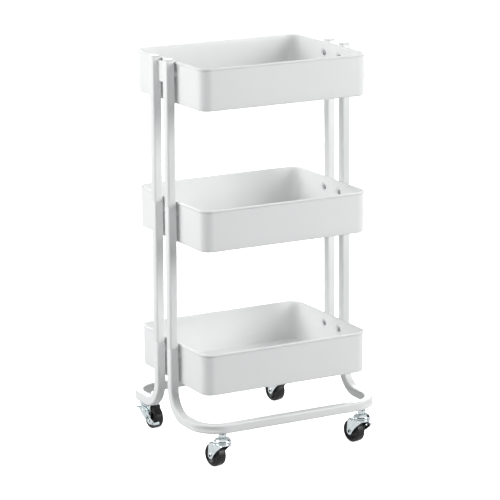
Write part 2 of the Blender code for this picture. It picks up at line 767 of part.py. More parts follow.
def new_empty(name, place, turn=0.0):
    empty = bpy.data.objects.new(name, None)
    empty.location = place
    empty.rotation_euler = (0, 0, turn)
    empty.empty_display_size = 0.02
    PARTS.objects.link(empty)
    return empty


def build_caster(name, side_x, side_y, swivel, braked, shared):
    center = (side_x * CASTER_X, side_y * CASTER_Y, 0)
    for part in ("stem", "nut", "upper_race"):
        piece = add_object(f"{name}_caster_{part}", shared[part], None)
        piece.location = center
    turn = new_empty(f"{name}_swivel_axis", center, math.radians(swivel))
    turned_pieces = [build_fork(f"{name}_caster_fork", braked)]
    axle = add_object(f"{name}_caster_axle", shared["axle"], None)
    axle.location = (TRAIL, 0, WHEEL_RADIUS)
    wheel = add_object(f"{name}_caster_wheel", shared["wheel"], None)
    wheel.location = (TRAIL, 0, WHEEL_RADIUS)
    turned_pieces += [axle, wheel]
    if braked:
        lever = build_brake_lever(f"{name}_brake_lever")
        lever.location = (BRAKE_PIVOT[0], BRAKE_INNER_Y, BRAKE_PIVOT[1])
        rivet = add_object(f"{name}_brake_rivet", shared["brake_rivet"], None)
        rivet.location = (BRAKE_PIVOT[0], 0, BRAKE_PIVOT[1])
        turned_pieces += [lever, rivet]
    for piece in turned_pieces:
        piece.parent = turn
    parent_cutters(name, turn)


def parent_cutters(name, turn):
    """The cutters of a caster's pieces turn with them."""
    for cutter in CUTTERS.objects:
        if f"_{name}_caster_fork" in cutter.name:
            cutter.parent = turn
        elif cutter.name.endswith(f"_{name}_brake_lever"):
            cutter.parent = turn
            cutter.location = (BRAKE_PIVOT[0], BRAKE_INNER_Y, BRAKE_PIVOT[1])


# Assembly -------------------------------------------------------------------------------------------------


def build_cart():
    section = tube_profile()
    for side_name, side_y in SIDES_Y:
        build_base_frame(f"{side_name}_base_frame", side_y, section)
    for side_name, side_x in SIDES_X:
        for end_name, side_y in SIDES_Y:
            place = f"{end_name}_{side_name}"
            build_post(f"{place}_middle_post", side_x, side_y, FIRST_JOINT, RIMS["middle"], False)
            build_post(f"{place}_upper_post", side_x, side_y, SECOND_JOINT, RIMS["top"], True)
            build_cap(f"{place}_post_cap", side_x, side_y)
        build_bridge(f"{side_name}_post_bridge", side_x)
    bolt = bolt_mesh()
    bolt.materials.append(BOLT_STEEL)
    for level in LEVELS:
        build_tray(f"{level}_tray", RIMS[level])
        for side_name, side_x in SIDES_X:
            for end_name, side_y in SIDES_Y:
                piece = add_object(f"{level}_{end_name}_{side_name}_bolt", bolt, None)
                seat = POST_X - TUBE_HALF - 2 * GAP - SHEET
                piece.location = (side_x * seat, side_y * POST_Y, RIMS[level] - BOLT_BELOW_RIM)
                piece.rotation_euler = (0, 0, 0 if side_x > 0 else math.pi)
    shared = {
        "stem": stem_mesh(),
        "nut": nut_mesh(),
        "upper_race": upper_race_mesh(),
        "axle": axle_mesh(),
        "wheel": wheel_mesh(),
        "brake_rivet": brake_rivet_mesh(),
    }
    for part, mesh in shared.items():
        mesh.materials.append(BLACK_WHEEL if part == "wheel" else ZINC)
    for name, side_x, side_y, swivel, braked in CASTERS:
        build_caster(name, side_x, side_y, swivel, braked, shared)


build_cart()
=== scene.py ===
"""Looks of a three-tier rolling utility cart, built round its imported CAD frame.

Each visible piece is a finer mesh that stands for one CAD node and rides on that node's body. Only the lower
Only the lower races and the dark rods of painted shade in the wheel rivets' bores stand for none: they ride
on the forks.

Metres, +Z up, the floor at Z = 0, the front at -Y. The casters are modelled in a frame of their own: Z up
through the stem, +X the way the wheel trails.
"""

import json
import math

import bmesh
import bpy
from mathutils import Matrix, Vector

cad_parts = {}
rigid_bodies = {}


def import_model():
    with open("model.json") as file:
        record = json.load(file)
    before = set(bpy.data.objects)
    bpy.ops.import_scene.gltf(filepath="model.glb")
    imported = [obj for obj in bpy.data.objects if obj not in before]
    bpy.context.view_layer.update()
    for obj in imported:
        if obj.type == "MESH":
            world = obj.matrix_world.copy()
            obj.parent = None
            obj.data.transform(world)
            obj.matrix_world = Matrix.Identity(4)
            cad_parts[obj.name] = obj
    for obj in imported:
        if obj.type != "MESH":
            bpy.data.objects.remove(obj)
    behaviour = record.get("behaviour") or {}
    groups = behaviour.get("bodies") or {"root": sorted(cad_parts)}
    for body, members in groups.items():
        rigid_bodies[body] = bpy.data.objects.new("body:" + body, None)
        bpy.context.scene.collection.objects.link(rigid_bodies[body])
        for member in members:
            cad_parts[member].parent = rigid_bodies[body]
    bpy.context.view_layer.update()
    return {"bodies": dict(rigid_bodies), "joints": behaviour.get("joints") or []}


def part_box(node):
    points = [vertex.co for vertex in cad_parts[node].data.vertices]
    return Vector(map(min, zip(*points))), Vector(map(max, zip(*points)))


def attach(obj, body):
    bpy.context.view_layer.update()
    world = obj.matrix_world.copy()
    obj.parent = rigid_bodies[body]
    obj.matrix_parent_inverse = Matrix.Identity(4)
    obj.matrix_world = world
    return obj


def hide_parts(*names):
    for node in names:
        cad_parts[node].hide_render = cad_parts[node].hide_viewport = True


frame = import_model()

# Tube
TUBE_HALF = 0.010
TUBE_CORNER = 0.0045
TUBE_END_ROUND = 0.0006
# (distance from an end of a tube, inset of its outline there)
TUBE_END_STEPS = ((0.0, TUBE_END_ROUND), (0.0002, TUBE_END_ROUND * 0.3), (TUBE_END_ROUND, 0.0))
BEND_RADIUS = 0.056
BEND_STEPS = 24
# How far the outer face of a bend sinks in, as it does when a square tube is bent
BEND_DENT = 0.0026
POST_GAP = 0.0003

# Trays
SHEET = 0.001
TRAY_HEIGHT = 0.090
TRAY_CORNER = 0.025
TRAY_FOOT_RADIUS = 0.004
BEAD_HALF_WIDTH = 0.002
BEAD_HEIGHT = 0.0055
BEAD_OUT = 0.0008
CORNER_STEPS = 14
# From a tray's wall to the posts beside it
TRAY_CLEARANCE = 0.0042
BOLT_BELOW_RIM = 0.026
# Radii of the pressing round a bolt, where its flat ends and where it meets the wall
BOSS_FLAT = 0.0060
BOSS_FOOT = 0.0106
BOSS_STEP = 0.0011

# Casters
TRAIL = 0.0246
WHEEL_RADIUS = 0.025
WHEEL_HALF_WIDTH = 0.011
FORK_HALF_WIDTH = 0.014
FORK_SHEET = 0.0015
FORK_BEND = 0.0050
FORK_EDGE = 0.00035
# Radius of a fork's round foot, about the axle
FORK_EYE = 0.0078
LEG_TOP = 0.0505
CROWN_LOW = 0.0495
CROWN_TOP = 0.0545
CROWN_RADIUS = 0.0182
STEM_RADIUS = 0.0050
STEM_HOLE = 0.0053
STEM_TOP = 0.0915
THREAD_PITCH = 0.00125
NUT_LOW = 0.0687
NUT_HIGH = 0.0767
NUT_ACROSS_FLATS = 0.0155
RACE_RADIUS = 0.0185
BRAKE_PIVOT = (0.0150, 0.0395)
BRAKE_INNER_Y = -0.0162
BRAKE_SHEET = 0.0015

CASTERS = ("front_left", "front_right", "rear_right", "rear_left")
LEVELS = ("bottom", "middle", "top")
SIDES_X = (("left", -1), ("right", 1))
SIDES_Y = (("front", -1), ("rear", 1))

# Places read from the frame
FIRST_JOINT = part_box("front_base_frame")[1].z
SECOND_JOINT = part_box("front_left_middle_post")[1].z
POST_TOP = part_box("front_left_upper_post")[1].z
CAP_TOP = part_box("front_left_post_cap")[1].z
POST_X = (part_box("front_right_upper_post")[0].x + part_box("front_right_upper_post")[1].x) / 2
POST_Y = (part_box("rear_right_upper_post")[0].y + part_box("rear_right_upper_post")[1].y) / 2
RAIL_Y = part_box("rear_base_frame")[1].y - TUBE_HALF
RAIL_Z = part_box("rear_base_frame")[0].z + TUBE_HALF
TRAY_FACE_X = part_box("top_tray")[1].x
TRAY_HALF_X = POST_X - TUBE_HALF - TRAY_CLEARANCE
TRAY_HALF_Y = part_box("top_tray")[1].y - BEAD_OUT - BEAD_HALF_WIDTH
JOINTS = {joint["name"]: joint for joint in frame["joints"]}


# Materials ----------------------------------------------------------------------------------------


class Surface:
    """A Principled material in object coordinates, with helpers for the noise that varies it."""

    def __init__(self, name, roughness, metallic):
        self.material = bpy.data.materials.new(name)
        self.material.use_nodes = True
        tree = self.material.node_tree
        self.nodes, self.links = tree.nodes, tree.links
        self.shader = self.nodes["Principled BSDF"]
        self.shader.inputs["Roughness"].default_value = roughness
        self.shader.inputs["Metallic"].default_value = metallic
        self.place = self.nodes.new("ShaderNodeTexCoord").outputs["Object"]
        self.last_bump = None

    def noise(self, scale, detail, stretch=(1, 1, 1)):
        mapping = self.nodes.new("ShaderNodeMapping")
        mapping.inputs["Scale"].default_value = stretch
        self.links.new(self.place, mapping.inputs["Vector"])
        noise = self.nodes.new("ShaderNodeTexNoise")
        noise.inputs["Scale"].default_value = scale
        noise.inputs["Detail"].default_value = detail
        self.links.new(mapping.outputs["Vector"], noise.inputs["Vector"])
        return noise.outputs["Fac"]

    def color(self, value, low, high, spread=(0.35, 0.65)):
        ramp = self.nodes.new("ShaderNodeValToRGB")
        ramp.color_ramp.elements[0].position = spread[0]
        ramp.color_ramp.elements[1].position = spread[1]
        ramp.color_ramp.elements[0].color = (*low, 1)
        ramp.color_ramp.elements[1].color = (*high, 1)
        self.links.new(value, ramp.inputs["Fac"])
        self.links.new(ramp.outputs["Color"], self.shader.inputs["Base Color"])

    def roughness(self, value, low, high):
        reach = self.nodes.new("ShaderNodeMapRange")
        reach.inputs["From Min"].default_value = 0.3
        reach.inputs["From Max"].default_value = 0.7
        reach.inputs["To Min"].default_value = low
        reach.inputs["To Max"].default_value = high
        self.links.new(value, reach.inputs["Value"])
        self.links.new(reach.outputs["Result"], self.shader.inputs["Roughness"])

    def bump(self, value, strength, distance):
        bump = self.nodes.new("ShaderNodeBump")
        bump.inputs["Strength"].default_value = strength
        bump.inputs["Distance"].default_value = distance
        self.links.new(value, bump.inputs["Height"])
        if self.last_bump:
            self.links.new(self.last_bump, bump.inputs["Normal"])
        self.last_bump = bump.outputs["Normal"]
        self.links.new(self.last_bump, self.shader.inputs["Normal"])


def powder_coat():
    """White paint baked on: a faint orange peel, a fine grain, and gloss that varies a little."""
    paint = Surface("white_powder_coat_finish", 0.36, 0.0)
    paint.color(paint.noise(5, 3), (0.872, 0.880, 0.878), (0.894, 0.899, 0.896))
    paint.roughness(paint.noise(70, 3), 0.31, 0.41)
    paint.bump(paint.noise(520, 2), 0.20, 0.00006)
    paint.bump(paint.noise(2600, 2), 0.14, 0.00003)
    paint.shader.inputs["Specular IOR Level"].default_value = 0.42
    return paint.material


def white_plastic():
    """Moulded caps and bridges: a finer, duller grain than the paint's."""
    plastic = Surface("white_plastic_finish", 0.48, 0.0)
    plastic.color(plastic.noise(30, 2), (0.845, 0.853, 0.850), (0.868, 0.873, 0.869))
    plastic.roughness(plastic.noise(120, 2), 0.43, 0.54)
    plastic.bump(plastic.noise(3800, 2), 0.18, 0.00003)
    return plastic.material


def zinc_plate():
    """Bright zinc over pressed steel: bluish, with a soft mottle, drawing lines and a few duller patches."""
    zinc = Surface("zinc_plate_finish", 0.16, 1.0)
    zinc.color(zinc.noise(90, 4), (0.80, 0.87, 0.89), (0.90, 0.945, 0.95))
    zinc.roughness(zinc.noise(160, 4), 0.11, 0.22)
    zinc.bump(zinc.noise(300, 3, (1, 1, 0.35)), 0.12, 0.00006)
    zinc.bump(zinc.noise(3000, 3, (1, 1, 0.08)), 0.08, 0.00002)
    return zinc.material


def bolt_steel():
    """Plain steel heads: darker than the zinc, with a fine tumbled grain."""
    steel = Surface("bolt_steel_finish", 0.30, 1.0)
    steel.color(steel.noise(900, 3), (0.30, 0.31, 0.33), (0.46, 0.47, 0.49))
    steel.roughness(steel.noise(1500, 3), 0.24, 0.42)
    steel.bump(steel.noise(2400, 3), 0.20, 0.00004)
    return steel.material


def black_plastic():
    """Black moulded wheel: satin, with a fine mould grain and a little dust in its texture."""
    black = Surface("black_wheel_finish", 0.42, 0.0)
    black.color(black.noise(260, 5), (0.0060, 0.0058, 0.0058), (0.0120, 0.0114, 0.0112))
    black.roughness(black.noise(330, 4), 0.30, 0.44)
    black.shader.inputs["Specular IOR Level"].default_value = 0.4
    black.bump(black.noise(1900, 3), 0.25, 0.00005)
    black.bump(black.noise(260, 3), 0.18, 0.00010)
    return black.material


PAINT = powder_coat()
PLASTIC = white_plastic()
ZINC = zinc_plate()
STEEL = bolt_steel()
BLACK = black_plastic()


# Mesh helpers -------------------------------------------------------------------------------------


def shaded(mesh, sharp=40):
    """The mesh, smooth apart from the edges that turn by more than sharp degrees."""
    mesh.shade_smooth()
    mesh.set_sharp_from_angle(angle=math.radians(sharp))
    return mesh


def mesh_from(bm, name, sharp=40):
    """A clean mesh from a bmesh: equal points merged and its faces pointing out."""
    bmesh.ops.remove_doubles(bm, verts=bm.verts[:], dist=0.0000005)
    bmesh.ops.recalc_face_normals(bm, faces=bm.faces[:])
    mesh = bpy.data.meshes.new(name)
    bm.to_mesh(mesh)
    bm.free()
    return shaded(mesh, sharp)


def show(name, data):
    """A new object in the scene."""
    obj = bpy.data.objects.new(name, data)
    bpy.context.scene.collection.objects.link(obj)
    return obj


def baked(obj, *helpers):
    """The object's mesh with its modifiers applied. The object and its helpers are removed."""
    graph = bpy.context.evaluated_depsgraph_get()
    mesh = bpy.data.meshes.new_from_object(obj.evaluated_get(graph))
    for used in (obj, *helpers):
        bpy.data.objects.remove(used, do_unlink=True)
    return mesh


def loft(name, rings, caps=True, closed=False, sharp=40):
    """Rings of points, all with the same count, joined in order; closed joins the last to the first."""
    bm = bmesh.new()
    rows = [[bm.verts.new(point) for point in ring] for ring in rings]
    pairs = list(zip(rows, rows[1:]))
    if closed:
        pairs.append((rows[-1], rows[0]))
    count = len(rows[0])
    for lower, upper in pairs:
        for i in range(count):
            j = (i + 1) % count
            bm.faces.new((lower[i], lower[j], upper[j], upper[i]))
    if caps and not closed:
        bm.faces.new(rows[0][::-1])
        bm.faces.new(rows[-1])
    return mesh_from(bm, name, sharp)


def lathe(name, profile, steps=48, closed=False, sharp=40):
    """A profile of (radius, height) points turned about Z. Ends that aren't joined get a flat cap."""
    rings = []
    for radius, height in profile:
        angles = [2 * math.pi * step / steps for step in range(steps)]
        rings.append([(radius * math.cos(a), radius * math.sin(a), height) for a in angles])
    return loft(name, rings, caps=not closed, closed=closed, sharp=sharp)


def rounded(points, steps=4, closed=False):
    """A line of (x, y, radius) corners, each made an arc of that radius. An open line's ends stay sharp."""
    made = []
    count = len(points)
    for i, (x, y, radius) in enumerate(points):
        here = Vector((x, y))
        if radius == 0 or (not closed and i in (0, count - 1)):
            made.append((x, y))
            continue
        before = (Vector(points[i - 1][:2]) - here).normalized()
        after = (Vector(points[(i + 1) % count][:2]) - here).normalized()
        half = before.angle(after) / 2
        center = here + (before + after).normalized() * radius / math.sin(half)
        start = here + before * radius / math.tan(half) - center
        end = here + after * radius / math.tan(half) - center
        turn = start.angle(end)
        for step in range(steps + 1):
            part = turn * step / steps
            spoke = (start * math.sin(turn - part) + end * math.sin(part)) / math.sin(turn)
            made.append(tuple(center + spoke))
    return made


def circle(center, radius, steps=32):
    """Points round a circle in X and Y."""
    angles = [2 * math.pi * step / steps for step in range(steps)]
    return [(center[0] + radius * math.cos(a), center[1] + radius * math.sin(a)) for a in angles]


def slab(name, outlines, thickness, edge=0.0002):
    """Flat outlines in X and Y, holes among them, made a plate about Z = 0 with slightly round edges."""
    curve = bpy.data.curves.new(name, "CURVE")
    curve.dimensions = "2D"
    curve.fill_mode = "BOTH"
    curve.extrude = thickness / 2 - edge
    curve.bevel_depth = edge
    curve.bevel_resolution = 1
    curve.offset = -edge
    for outline in outlines:
        spline = curve.splines.new("POLY")
        spline.points.add(len(outline) - 1)
        for point, (x, y) in zip(spline.points, outline):
            point.co = (x, y, 0, 1)
        spline.use_cyclic_u = True
    bm = bmesh.new()
    bm.from_mesh(baked(show(name, curve)))
    return mesh_from(bm, name, 50)


def joined(name, meshes, sharp=40):
    """One mesh made of several."""
    bm = bmesh.new()
    for mesh in meshes:
        bm.from_mesh(mesh)
    bmesh.ops.recalc_face_normals(bm, faces=bm.faces[:])
    made = bpy.data.meshes.new(name)
    bm.to_mesh(made)
    bm.free()
    return shaded(made, sharp)


def moved(mesh, *matrices):
    """The same mesh, moved by each matrix in turn."""
    for matrix in matrices:
        mesh.transform(matrix)
    return mesh


STAND_UP = Matrix.Rotation(math.radians(90), 4, "X")
LAY_ALONG_Y = Matrix.Rotation(math.radians(-90), 4, "X")


def add_piece(name, mesh, finish, body, nodes=(), place=None):
    """A finished piece: its mesh, finish and place, the body it rides on, and the nodes it stands for."""
    if place is not None:
        mesh = moved(mesh.copy(), place)
    mesh.materials.append(finish)
    piece = show(name, mesh)
    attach(piece, body)
    if nodes:
        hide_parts(*nodes)


# Tube ---------------------------------------------------------------------------------------------


def tube_outline(inset=0.0):
    """Counter-clockwise square with round corners and a few points along each flat, in two coordinates."""
    half, radius = TUBE_HALF - inset, TUBE_CORNER - inset
    flat = TUBE_HALF - TUBE_CORNER
    points = []
    for quarter in range(4):
        turn = Matrix.Rotation(math.radians(90 * quarter), 2)
        for step in range(-3, 3):
            points.append(turn @ Vector((half, flat * step / 3)))
        for step in range(6):
            angle = math.radians(90 * step / 6)
            points.append(turn @ Vector((flat + radius * math.cos(angle), flat + radius * math.sin(angle))))
    return points


def arc_stations(center, start, end, steps):
    """Points on a quarter bend between two spokes, with the outward direction and how deep its face sinks."""
    stations = []
    for step in range(1, steps + 1):
        part = step / steps
        outward = start * math.cos(math.pi / 2 * part) + end * math.sin(math.pi / 2 * part)
        dent = BEND_DENT * math.sin(math.pi * part) ** 2
        stations.append((center + outward * BEND_RADIUS, outward, dent))
    return stations


def frame_stations(side):
    """Axis of a bent frame, from the top of its left stub to the top of its right one."""
    flat = Vector((0, 0, 0))
    out_y = Vector((0, side, 0))
    down = Vector((0, 0, -1))
    left = Vector((-1, 0, 0))
    top = Vector((-POST_X, side * POST_Y, FIRST_JOINT))
    bend_top = Vector((-POST_X, side * POST_Y, RAIL_Z + BEND_RADIUS))
    stations = [(top + down * reach, flat, 0.0) for reach, _ in TUBE_END_STEPS]
    stations.append((bend_top, flat, 0.0))
    stations += arc_stations(bend_top + out_y * BEND_RADIUS, -out_y, down, BEND_STEPS)
    corner = Vector((-POST_X, side * (RAIL_Y - BEND_RADIUS), RAIL_Z))
    stations.append((corner, flat, 0.0))
    stations += arc_stations(corner - left * BEND_RADIUS, left, out_y, BEND_STEPS)
    mirrored = [(Vector((-p.x, p.y, p.z)), Vector((-o.x, o.y, o.z)), d) for p, o, d in reversed(stations)]
    return stations + mirrored


def bent_tube(name, stations):
    """Sweeps the tube's section along the stations. Its corners stay square to the planes it is bent in."""
    outlines = [tube_outline(inset) for _, inset in TUBE_END_STEPS]
    last = len(stations) - 1
    places = [place for place, _, _ in stations]
    across, up = Vector((1, 0, 0)), Vector((0, 1, 0))
    before = (places[1] - places[0]).normalized()
    rings = []
    for i, (place, outward, dent) in enumerate(stations):
        ahead = (places[min(i + 1, last)] - places[max(i - 1, 0)]).normalized()
        if outward.length > 0:
            ahead = (ahead - outward * ahead.dot(outward)).normalized()
        elif i not in (0, last):
            ahead = snapped(ahead)
        turn = before.rotation_difference(ahead)
        across, up, before = turn @ across, turn @ up, ahead
        ring = []
        for u, v in outlines[min(i, last - i, len(outlines) - 1)]:
            spoke = across * u + up * v
            ring.append(place + spoke - outward * sunk(spoke, outward, ahead, dent))
        rings.append(ring)
    return loft(name, rings)


def snapped(direction):
    """The nearest axis: the straight stretches all run along one."""
    return Vector([round(c) for c in direction]).normalized()


def sunk(spoke, outward, ahead, dent):
    """How far a point of the section moves in: most at the middle of the outer face, none at its edges."""
    if dent == 0 or spoke.dot(outward) < 0.9 * TUBE_HALF:
        return 0.0
    along_face = spoke.dot(outward.cross(ahead))
    return dent * max(0.0, math.cos(math.pi / 2 * along_face / (TUBE_HALF - 0.003))) ** 1.5


def build_frames():
    for side_name, side in SIDES_Y:
        node = f"{side_name}_base_frame"
        add_piece(f"{node}_tube", bent_tube(node, frame_stations(side)), PAINT, "cart", [node])


def straight_tube(name, low, high):
    """Upright tube on Z, with its ends rounded over."""
    stations = [(low + reach, inset) for reach, inset in TUBE_END_STEPS]
    stations += [(high - reach, inset) for reach, inset in reversed(TUBE_END_STEPS)]
    return loft(name, [[(x, y, z) for x, y in tube_outline(inset)] for z, inset in stations])


def cap_mesh():
    """Push-in cap with a soft crown and a rounded rim."""
    height = CAP_TOP - POST_TOP
    rings = []
    levels = ((POST_GAP, 0.0006), (POST_GAP + 0.0004, 0.0), (height * 0.55, 0.0), (height * 0.78, 0.0005),
              (height * 0.92, 0.0014), (height, 0.0028))
    for z, inset in levels:
        rings.append([(x, y, z) for x, y in tube_outline(inset)])
    return loft("post_cap", rings, sharp=60)


def build_posts():
    middle = straight_tube("middle_post", FIRST_JOINT + POST_GAP, SECOND_JOINT)
    upper = straight_tube("upper_post", SECOND_JOINT + POST_GAP, POST_TOP)
    cap = cap_mesh()
    for end_name, side_y in SIDES_Y:
        for side_name, side_x in SIDES_X:
            place = Matrix.Translation((side_x * POST_X, side_y * POST_Y, 0))
            on_top = place @ Matrix.Translation((0, 0, POST_TOP))
            node = f"{end_name}_{side_name}"
            add_piece(f"{node}_middle_tube", middle, PAINT, "cart", [f"{node}_middle_post"], place)
            add_piece(f"{node}_upper_tube", upper, PAINT, "cart", [f"{node}_upper_post"], place)
            add_piece(f"{node}_end_cap", cap, PLASTIC, "cart", [f"{node}_post_cap"], on_top)


def rounded_box(half_y, half_z, radius):
    """Outline of an upright rectangle with round corners, about its middle."""
    corners = ((half_y, -half_z), (half_y, half_z), (-half_y, half_z), (-half_y, -half_z))
    return rounded([(y, z, radius) for y, z in corners], closed=True)


def build_bridges():
    """Moulded plates between the posts, with a shallow rib round their edge."""
    facing_x = (Matrix.Rotation(math.pi / 2, 4, "Y"), STAND_UP)
    rib = 0.0045
    for side_name, side_x in SIDES_X:
        node = f"{side_name}_post_bridge"
        low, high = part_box(node)
        half_y = POST_Y - TUBE_HALF - POST_GAP
        half_z = (high.z - low.z) / 2
        outline = rounded_box(half_y, half_z, 0.0012)
        opening = rounded_box(half_y - rib, half_z - rib, 0.002)
        plate = moved(slab("bridge_plate", [outline], 0.0044, 0.0005), *facing_x)
        rim = moved(slab("bridge_rim", [outline, opening], 0.0012, 0.0003), *facing_x,
                    Matrix.Translation((side_x * 0.0021, 0, 0)))
        mesh = joined(node, [plate, rim])
        add_piece(f"{node}_plate", mesh, PLASTIC, "cart", [node], Matrix.Translation((low + high) / 2))


# Trays --------------------------------------------------------------------------------------------


def stretch(start, end, step):
    """Evenly spaced values from start to end, no further apart than step, without the end."""
    count = max(1, math.ceil(abs(end - start) / step - 0.001))
    return [start + (end - start) * i / count for i in range(count)]


def short_side_stations():
    """Places along a short side, close together across each boss."""
    end = TRAY_HALF_Y - TRAY_CORNER
    places = stretch(-end, -POST_Y - BOSS_FOOT, 0.03)
    places += stretch(-POST_Y - BOSS_FOOT, -POST_Y + BOSS_FOOT, BOSS_STEP)
    places += stretch(-POST_Y + BOSS_FOOT, POST_Y - BOSS_FOOT, 0.01)
    places += stretch(POST_Y - BOSS_FOOT, POST_Y + BOSS_FOOT, BOSS_STEP)
    places += stretch(POST_Y + BOSS_FOOT, end, 0.03)
    return places


def tray_ring(inset, height, boss_height):
    """Points round a tray at one height; near a bolt they are pressed out towards the post."""
    flat_x, flat_y = TRAY_HALF_X - TRAY_CORNER, TRAY_HALF_Y - TRAY_CORNER
    radius = TRAY_CORNER - inset
    long_stations = stretch(-flat_x, flat_x, 0.08)
    sides = (
        (short_side_stations(), lambda s: (TRAY_HALF_X - inset, s), (flat_x, flat_y)),
        (long_stations, lambda s: (-s, TRAY_HALF_Y - inset), (-flat_x, flat_y)),
        (short_side_stations(), lambda s: (inset - TRAY_HALF_X, -s), (-flat_x, -flat_y)),
        (long_stations, lambda s: (s, inset - TRAY_HALF_Y), (flat_x, -flat_y)),
    )
    points = []
    for quarter, (stations, place, center) in enumerate(sides):
        points += [place(s) for s in stations]
        for step in range(CORNER_STEPS):
            angle = math.radians(90 * (quarter + step / CORNER_STEPS))
            points.append((center[0] + radius * math.cos(angle), center[1] + radius * math.sin(angle)))
    return [(pressed(x, y, height - boss_height), y, height) for x, y in points]


def pressed(x, y, from_boss):
    """X moved out, next to a bolt, by the depth of the pressing."""
    if abs(x) < TRAY_HALF_X - 0.002:
        return x
    reach = math.hypot(abs(y) - POST_Y, from_boss)
    part = min(1.0, max(0.0, (reach - BOSS_FLAT) / (BOSS_FOOT - BOSS_FLAT)))
    depth = (TRAY_FACE_X - TRAY_HALF_X) * (1 - part * part * (3 - 2 * part))
    return x + math.copysign(depth, x)


def tray_profile():
    """(inset from the outer wall, height over the rim): up outside, over the bead and down inside."""
    foot = TRAY_FOOT_RADIUS
    inner_foot = foot - SHEET
    floor_insets = (0.0085, 0.0055)
    quarter = [math.pi / 2 * step / 6 for step in range(7)]
    profile = [(inset, -TRAY_HEIGHT) for inset in floor_insets]
    profile += [(foot - foot * math.sin(a), foot - TRAY_HEIGHT - foot * math.cos(a)) for a in quarter]
    seam = math.acos(-BEAD_OUT / BEAD_HALF_WIDTH)
    seam_height = -BEAD_HEIGHT / 2 * (1 + math.sin(seam))
    boss_low, boss_high = -BOLT_BELOW_RIM - BOSS_FOOT, -BOLT_BELOW_RIM + BOSS_FOOT
    wall_step, below_bead = 0.012, -0.0090
    levels = stretch(foot - TRAY_HEIGHT + wall_step, boss_low, wall_step)
    levels += stretch(boss_low, boss_high, BOSS_STEP) + [boss_high, below_bead]
    profile += [(0.0, z) for z in levels + [seam_height - 0.0006]]
    inner_end = math.acos(-(SHEET + BEAD_OUT) / BEAD_HALF_WIDTH)
    for step in range(21):
        angle = -seam + (inner_end + seam) * step / 20
        profile.append((-BEAD_OUT - BEAD_HALF_WIDTH * math.cos(angle),
                        -BEAD_HEIGHT / 2 * (1 - math.sin(angle))))
    profile += [(SHEET, z) for z in reversed(levels)]
    for a in reversed(quarter):
        profile.append((foot - inner_foot * math.sin(a), foot - TRAY_HEIGHT - inner_foot * math.cos(a)))
    profile += [(inset, SHEET - TRAY_HEIGHT) for inset in reversed(floor_insets)]
    return profile


def build_trays():
    for level in LEVELS:
        node = f"{level}_tray"
        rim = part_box(node)[0].z + TRAY_HEIGHT
        rings = [tray_ring(inset, rim + height, rim - BOLT_BELOW_RIM) for inset, height in tray_profile()]
        add_piece(f"{node}_pan", loft(node, rings, sharp=50), PAINT, "cart", [node])


# Bolts --------------------------------------------------------------------------------------------


def socket_ring(radius, height, steps, hexagonal):
    """A ring that goes from round to hexagonal as hexagonal goes from 0 to 1."""
    points = []
    for step in range(steps):
        angle = 2 * math.pi * step / steps
        flat = math.cos(math.pi / 6) / math.cos((angle % (math.pi / 3)) - math.pi / 6)
        reach = radius * (1 - hexagonal + hexagonal * flat)
        points.append((reach * math.cos(angle), reach * math.sin(angle), height))
    return points


def bolt_mesh():
    """Button head on +Z with a hexagonal socket, and a shank below; its seat is at Z = 0."""
    shank = [(0.0012, -0.0120, 0), (0.00175, -0.0114, 0), (0.00175, 0.0, 0)]
    head = [(0.0050, 0.0, 0), (0.0052, 0.0003, 0), (0.0051, 0.0009, 0), (0.0046, 0.0018, 0),
            (0.0038, 0.0025, 0), (0.0028, 0.0029, 0), (0.0022, 0.0030, 0.4)]
    socket = [(0.0019, 0.0028, 1), (0.0018, 0.0010, 1), (0.0008, 0.0006, 1)]
    rings = [socket_ring(radius, z, 36, hexagonal) for radius, z, hexagonal in shank + head + socket]
    return loft("bolt", rings, sharp=35)


def build_bolts():
    """Each bolt's head lies inside its tray, 3 mm in from the end of the CAD bolt."""
    mesh = bolt_mesh()
    head_height = 0.0030
    for level in LEVELS:
        for end_name, side_y in SIDES_Y:
            for side_name, side_x in SIDES_X:
                node = f"{level}_{end_name}_{side_name}_bolt"
                low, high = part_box(node)
                seat = low.x + head_height if side_x > 0 else high.x - head_height
                place = Matrix.Translation((seat, (low.y + high.y) / 2, (low.z + high.z) / 2))
                facing = Matrix.Rotation(-side_x * math.pi / 2, 4, "Y")
                add_piece(f"{node}_head", mesh, STEEL, "cart", [node], place @ facing)


# Casters ------------------------------------------------------------------------------------------


def stem_mesh():
    """Stem with a clenched foot. Its thread is a row of rings, one to each pitch."""
    thread_depth = 0.0006
    foot = [(0.0060, 0.0502), (0.0070, 0.0516), (0.0070, 0.0523)]
    profile = foot + [(STEM_RADIUS, 0.0524), (STEM_RADIUS, 0.0690)]
    height = 0.0700
    while height < STEM_TOP - THREAD_PITCH:
        profile += [(STEM_RADIUS - thread_depth, height), (STEM_RADIUS, height + THREAD_PITCH / 2)]
        height += THREAD_PITCH
    profile += [(STEM_RADIUS - 2 * thread_depth, STEM_TOP)]
    return lathe("stem", profile, 32)


def nut_mesh():
    """Hexagonal nut, chamfered above and below."""
    corner = NUT_ACROSS_FLATS / 2 / math.cos(math.pi / 6)
    face, chamfer, steps = 0.0074, 0.0008, 48
    levels = ((NUT_LOW, face), (NUT_LOW + chamfer, corner), (NUT_HIGH - chamfer, corner), (NUT_HIGH, face))
    rings = []
    for height, reach in levels:
        ring = []
        for x, y, z in socket_ring(corner, height, steps, 1):
            scale = min(1.0, reach / math.hypot(x, y))
            ring.append((x * scale, y * scale, z))
        rings.append(ring)
    bore = [[(x, y, height) for x, y in circle((0, 0), STEM_HOLE, steps)] for height in (NUT_HIGH, NUT_LOW)]
    return loft("nut", rings + bore, closed=True, sharp=30)


